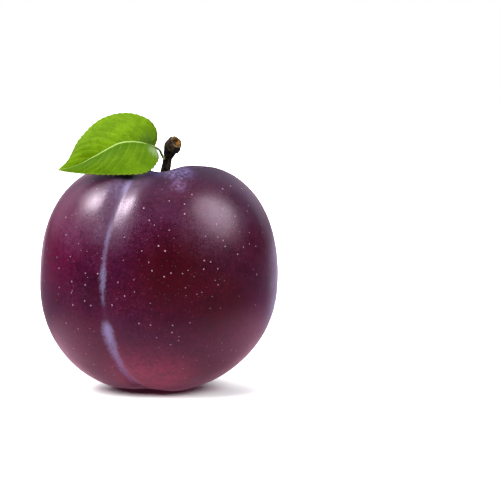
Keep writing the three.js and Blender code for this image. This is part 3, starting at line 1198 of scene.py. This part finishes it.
@dataclass
class Leaf:
    """One leaf on a thin stalk: a toothed blade arched on both sides of its pressed-in rib."""

    base: tuple[float, float, float] = (-1.0, -5.0, 32.8)
    tip: tuple[float, float, float] = (-24.8, -11.5, 27.4)
    stalk: tuple[tuple[float, float, float], ...] = ((0.95, 0.6, 30.3), (0.3, -1.7, 31.8))
    rib: tuple[tuple[float, float, float], ...] = (
        (-3.1, -7.2, 33.8),
        (-6.4, -9.0, 34.4),
        (-9.5, -10.0, 34.1),
        (-12.5, -10.7, 32.7),
        (-15.3, -11.0, 31.1),
        (-20.7, -11.3, 28.4),
    )
    upper_margin: tuple[tuple[float, float, float], ...] = (
        (-0.3, -3.4, 34.9),
        (-0.5, -2.2, 36.9),
        (-2.3, -1.5, 39.4),
        (-7.5, -1.6, 41.1),
        (-14.1, -3.6, 39.7),
        (-19.4, -7.2, 34.9),
        (-22.4, -10.2, 29.6),
    )
    lower_margin: tuple[tuple[float, float, float], ...] = (
        (0.0, -10.5, 30.4),
        (-1.6, -14.6, 27.9),
        (-4.0, -16.7, 26.9),
        (-8.5, -16.4, 26.6),
        (-14.4, -14.2, 26.5),
        (-20.5, -12.5, 26.8),
    )
    thickness: float = 0.34
    arch: float = 0.5
    impression_depth: float = 0.35
    impression_width: float = 1.5
    teeth: int = 26
    tooth_height: float = 0.21
    veins: float = 11.0
    vein_lean: float = 0.46
    vein_relief: float = 0.04
    rib_radii: tuple[float, float, float] = (0.34, 0.30, 0.06)
    stalk_root: tuple[float, float, float] = (-45.0, -30.0, 55.0)
    rod_span: tuple[float, float] = (-0.02, 0.985)
    rows: int = 420
    half_columns: int = 34
    rod_rows: int = 260
    rod_columns: int = 20

    def rib_line(self) -> tuple[Line, float]:
        """The line of the stalk and rib, and the place on it where the blade begins."""
        points = [*self.stalk, self.base, *self.rib, self.tip]
        return Line(points), len(self.stalk) / (len(points) - 1)

    def margin(self, side: Side) -> Line:
        """The line of one margin, from the blade's base to its tip."""
        middle = self.upper_margin if side is Side.UPPER else self.lower_margin
        return Line([self.base, *middle, self.tip])

    def tooth(self, share: np.ndarray) -> np.ndarray:
        """How far the margin stands out: each tooth rises towards the tip and drops at its end.

        Args:
            share: shares of the way along the margin, 0 to 1.

        Returns:
            A height for each share, in millimetres.
        """
        step = (share * self.teeth) % 1.0
        shape = np.where(step < 0.72, smooth(step / 0.72), smooth((1 - step) / 0.28))
        fade = np.minimum(np.minimum(1.0, 4 * (1 - share)), 8 * share)
        return self.tooth_height * shape * fade

    def middle(self) -> tuple[np.ndarray, dict[str, np.ndarray]]:
        """The blade's middle surface, row by row from the lower margin to the upper.

        A point lies between the rib and its margin, lifted by a parabola that is fullest midway,
        sunk by a bell at the rib, and pressed in a little along each side vein.

        Returns:
            The grid of points, and the distances that the finish reads.
        """
        line, start = self.rib_line()
        share = (np.arange(self.rows) + 0.5) / self.rows
        place = start + (1 - start) * share
        rib, tangent = line.at(place), line.tangent(place)
        lower, upper = (self.margin(side) for side in Side)
        low, high = lower.at(lower.by_length(share)), upper.at(upper.by_length(share))
        facing = unit(np.cross(high - low, tangent))
        signed = np.linspace(-1.0, 1.0, 2 * self.half_columns + 1)
        signed = np.sign(signed) * np.abs(signed) ** 0.9
        out = np.abs(signed)[None, :]
        margin = np.where(signed[None, :, None] < 0, low[:, None], high[:, None])
        width = np.linalg.norm(margin - rib[:, None], axis=-1)
        fullness = np.minimum(1.0, width / 5.0)
        swelling = 4 * out * (1 - out) * self.arch * fullness
        sunk = self.impression_depth * bell(out * width, self.impression_width) * fullness
        ribwards = 1 - smooth((out - 0.8) / 0.2)
        forward = share[:, None] - self.vein_lean * out**1.2 * (1 - 0.4 * share[:, None])
        offset = 0.25 * (signed[None, :] > 0)
        beat = (forward * self.veins + offset) % 1.0 - 0.5
        spacing = line.run[-1] * (1 - start) / self.veins
        vein = np.abs(beat) * spacing * 0.8
        vein = vein + 3.0 * smooth((out - 0.72) / 0.28) + 3.0 * smooth((0.06 - forward) / 0.06)
        pressed = self.vein_relief * bell(vein, 0.3) * fullness
        quilt = 0.03 * np.cos(2 * np.pi * beat) * smooth(out * 3) * ribwards * fullness
        ripple = LatticeNoise(31).at(rib[:, None] + (margin - rib[:, None]) * out[..., None], 4.0)
        lift = swelling - sunk - pressed - quilt + 0.08 * ripple * out * fullness
        stands = 1 + self.tooth(share)[:, None] / np.maximum(width, 0.1)
        reach = np.where(out > 0.88, 1 + (stands - 1) * smooth((out - 0.88) / 0.12), 1.0) * out
        points = rib[:, None] + (margin - rib[:, None]) * reach[..., None]
        points = points + facing[:, None] * lift[..., None]
        slim = 0.35 + 0.65 * smooth((1 - share) / 0.9)[:, None]
        values = {
            "rib_distance": out * width / slim,
            "vein_distance": vein,
            "edge_distance": (1 - out) * width,
            "lower": smooth(0.5 - signed * width / 2.0),
        }
        return points, values

    def blade(self) -> Surface:
        """Two faces half the thickness off the middle surface, joined round the toothed edge.

        Returns:
            The blade as one closed surface.
        """
        points, values = self.middle()
        rows, columns = points.shape[:2]
        normal = unit(np.cross(np.gradient(points, axis=1), np.gradient(points, axis=0)))
        thin = 1 - 0.5 * smooth(1 - values["edge_distance"] / 0.5)
        lift = normal * (self.thickness / 2 * thin)[..., None]
        count = rows * columns
        face = grid_quads(rows, columns, False)
        number = np.arange(count).reshape(rows, columns)
        rim = np.concatenate([number[0, :-1], number[:-1, -1], number[-1, :0:-1], number[:0:-1, 0]])
        onward = np.roll(rim, -1)
        wall = np.stack([onward, rim, rim + count, onward + count], axis=-1)
        both = np.vstack([(points + lift).reshape(-1, 3), (points - lift).reshape(-1, 3)])
        kept = {name: np.tile(v.ravel(), 2) for name, v in values.items()}
        kept["underside"] = np.repeat([0.0, 1.0], count)
        return Surface(both, [face, face[:, ::-1] + count, wall], kept)

    def rod(self) -> Surface:
        """The stalk and rib as one round rod that tapers, sunk to the blade's underside.

        Returns:
            The rod as one closed surface.
        """
        line, start = self.rib_line()
        rows, columns = self.rod_rows, self.rod_columns
        place = np.linspace(*self.rod_span, rows)
        centre, tangent = line.at(place), line.tangent(np.maximum(place, 2e-4))
        centre = centre + np.minimum(place, 0.0)[:, None] * self.stalk_root
        stalk, base, tip = self.rib_radii
        radius = np.interp(place, [0.0, start, 1.0], [stalk, base, tip])
        lower, upper = (self.margin(side) for side in Side)
        share = np.clip((place - start) / (1 - start), 0.004, 1.0)
        across = upper.at(upper.by_length(share)) - lower.at(lower.by_length(share))
        facing = unit(np.cross(across, tangent))
        sunk = self.impression_depth + radius * 0.75
        centre = centre - facing * (sunk * smooth((place - start) / 0.12))[:, None]
        side = unit(np.cross((0.0, -1.0, 0.0), tangent))
        ahead = np.cross(tangent, side)
        angle = 2 * np.pi * np.arange(columns) / columns
        round_ = side[:, None] * np.cos(angle)[:, None] + ahead[:, None] * np.sin(angle)[:, None]
        points = (centre[:, None] + round_ * radius[:, None, None]).reshape(-1, 3)
        count = rows * columns
        faces = [
            grid_quads(rows, columns, True),
            cap_triangles(np.arange(count - columns, count), count),
            cap_triangles(np.arange(columns)[::-1], count + 1),
        ]
        points = np.vstack([points, centre[-1], centre[0]])
        zero = np.zeros(len(points))
        values = {
            "rib_distance": zero,
            "vein_distance": zero + 5.0,
            "edge_distance": zero + 5.0,
            "lower": zero,
            "underside": zero,
        }
        return Surface(points, faces, values)

    def build(self) -> bpy.types.Object:
        """Makes the leaf and stands it for the leaf's solid.

        Returns:
            The new piece.
        """
        piece = self.blade().join(self.rod()).place("leaf_blade", LeafGreen().make())
        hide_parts("leaf")
        return piece


@dataclass(frozen=True)
class Softbox:
    """A round soft lamp that shows as a highlight: its direction, distance, width and power."""

    role: LampRole
    direction: tuple[float, float, float]
    distance: float
    width: float
    power: float
    tint: Colour = (1.0, 1.0, 1.0)

    def hang(self, middle: Vector) -> None:
        """Hangs the lamp and turns it to the plum.

        Args:
            middle: the place that it points at, in millimetres.
        """
        data = bpy.data.lights.new(self.role.value, "AREA")
        data.shape = "DISK"
        data.size = self.width * MM
        data.energy = self.power
        data.color = self.tint
        way = Vector(self.direction).normalized()
        lamp = bpy.data.objects.new(self.role.value, data)
        lamp.location = (middle + way * self.distance) * MM
        lamp.rotation_euler = way.to_track_quat("Z", "Y").to_euler()
        lamp.visible_diffuse = False
        bpy.context.scene.collection.objects.link(lamp)


@dataclass(frozen=True)
class Diffuser:
    """A wide even light with no highlight of its own: its direction, spread and strength."""

    role: LampRole
    direction: tuple[float, float, float]
    spread: float
    strength: float
    tint: Colour = (1.0, 1.0, 1.0)

    def hang(self, middle: Vector) -> None:
        """Hangs the light a metre away and turns it to the plum.

        Args:
            middle: the place that it points at, in millimetres.
        """
        data = bpy.data.lights.new(self.role.value, "SUN")
        data.angle = math.radians(self.spread)
        data.energy = self.strength
        data.color = self.tint
        way = Vector(self.direction).normalized()
        lamp = bpy.data.objects.new(self.role.value, data)
        lamp.location = middle * MM + way
        lamp.rotation_euler = way.to_track_quat("Z", "Y").to_euler()
        lamp.visible_glossy = False
        bpy.context.scene.collection.objects.link(lamp)


@dataclass
class Studio:
    """The floor, the soft lamps, the pale surroundings and the camera."""

    middle: tuple[float, float, float] = (0.0, 0.0, 28.66)
    elevation: float = 6.0
    lens: float = 150.0
    distance: float = 525.3
    aim_right: float = 22.97
    aim_up: float = 6.5
    floor_width: float = 6000.0
    gloom: Colour = (0.045, 0.035, 0.06)
    ceiling: Colour = (0.50, 0.46, 0.60)
    back_wall: Colour = (0.33, 0.31, 0.41)
    left_wall: Colour = (0.95, 0.68, 0.86)
    right_wall: Colour = (0.68, 0.62, 0.82)
    right_foot: Colour = (0.26, 0.24, 0.33)
    rear_border: Slant = Slant(-0.75, 0.04, 0.27)
    beside_border: Slant = Slant(-0.35, -0.1, 0.15, 0.55)
    slit_border: Slant = Slant(2.2, 0.0, 0.4)
    right_full: float = 0.4
    left_full: float = -0.1
    lamps: tuple[Softbox | Diffuser, ...] = (
        Softbox(LampRole.KEY, (-0.69, 0.08, 0.76), 620.0, 215.0, 3.6),
        Softbox(LampRole.SIDE, (-0.65, 0.63, 0.42), 700.0, 420.0, 0.5, (1.0, 0.58, 0.85)),
        Softbox(LampRole.FILL, (0.69, -0.19, 0.63), 700.0, 440.0, 4.0),
        Diffuser(LampRole.OVERHEAD, (-0.15, 0.0, 1.0), 70.0, 3.0),
        Diffuser(LampRole.LOW_LEFT, (-1.0, -0.8, 1.05), 34.0, 5.2),
        Diffuser(LampRole.LOW_RIGHT, (0.9, -1.0, 1.0), 32.0, 3.2),
        Diffuser(LampRole.REAR, (-0.2, 1.0, 0.8), 50.0, 2.4),
    )

    def floor(self) -> None:
        """Lays the plain floor under the plum."""
        half = self.floor_width * MM / 2
        corners = [(-half, -half, 0.0), (half, -half, 0.0), (half, half, 0.0), (-half, half, 0.0)]
        mesh = bpy.data.meshes.new("studio_floor")
        mesh.from_pydata(corners, [], [(0, 1, 2, 3)])
        mesh.materials.append(PlainFloor().make())
        plane = bpy.data.objects.new("studio_floor", mesh)
        bpy.context.scene.collection.objects.link(plane)

    def surroundings(self) -> None:
        """Surroundings that the skin mirrors: dim in front, paler above and to the right rear.

        A thin pale strip stands to the left rear. The camera itself sees plain white behind the
        plum.
        """
        world = bpy.context.scene.world or bpy.data.worlds.new("studio")
        bpy.context.scene.world = world
        world.use_nodes = True
        nodes = Nodes(world.node_tree)
        backdrop = world.node_tree.nodes["Background"]
        way = nodes.add("ShaderNodeSeparateXYZ")
        nodes.feed(way.inputs[0], nodes.add("ShaderNodeTexCoord").outputs["Generated"])
        x, y, z = way.outputs[0], way.outputs[1], way.outputs[2]
        behind = nodes.ranged(y, 0.4, 0.85)
        high = nodes.ranged(z, 0.3, 0.65)
        right = nodes.ranged(x, 0.0, self.right_full)
        corner = nodes.maths("MULTIPLY", nodes.past(self.rear_border, x, y), right)
        corner = nodes.maths("MULTIPLY", corner, nodes.past(self.beside_border, y, x))
        left = nodes.ranged(x, 0.0, self.left_full)
        slit = nodes.maths("MULTIPLY", nodes.past(self.slit_border, x, y), left)
        wall = nodes.blend(nodes.ranged(z, 0.0, 0.25), self.right_foot, self.right_wall)
        room = nodes.blend(corner, self.gloom, wall)
        room = nodes.blend(slit, room, self.left_wall)
        room = nodes.blend(nodes.maths("MULTIPLY", behind, high), room, self.back_wall)
        room = nodes.blend(nodes.ranged(z, 0.75, 1.0), room, self.ceiling)
        seen = nodes.add("ShaderNodeLightPath").outputs["Is Camera Ray"]
        nodes.feed(backdrop.inputs["Color"], nodes.blend(seen, room, (1.0, 1.0, 1.0)))
        backdrop.inputs["Strength"].default_value = 1.0

    def light(self) -> None:
        """Hangs every lamp round the plum."""
        for lamp in self.lamps:
            lamp.hang(Vector(self.middle))

    def camera(self) -> None:
        """Sets the camera in front of the plum, turned so that the plum is left of the middle."""
        rise = math.radians(self.elevation)
        ahead = Vector((0.0, math.cos(rise), -math.sin(rise)))
        right = Vector((1.0, 0.0, 0.0))
        up = right.cross(ahead)
        stand = Vector(self.middle) - ahead * self.distance
        target = Vector(self.middle) + right * self.aim_right + up * self.aim_up
        data = bpy.data.cameras.new("camera")
        data.lens = self.lens
        data.sensor_width = 36.0
        data.clip_start, data.clip_end = 0.02, 50.0
        view = bpy.data.objects.new("camera", data)
        view.location = stand * MM
        view.rotation_euler = (target - stand).to_track_quat("-Z", "Y").to_euler()
        bpy.context.scene.collection.objects.link(view)
        bpy.context.scene.camera = view

    def build(self) -> None:
        """Sets up the whole studio."""
        self.camera()
        self.floor()
        self.surroundings()
        self.light()
        bpy.context.scene.view_settings.view_transform = "Standard"


def main() -> None:
    """Builds the studio and the plum and reports each piece."""
    logging.basicConfig(level=logging.INFO, format="%(name)s: %(message)s")
    Studio().build()
    for part in (Fruit(), Stem(), Leaf()):
        part.build()


if __name__ == "__main__":
    main()
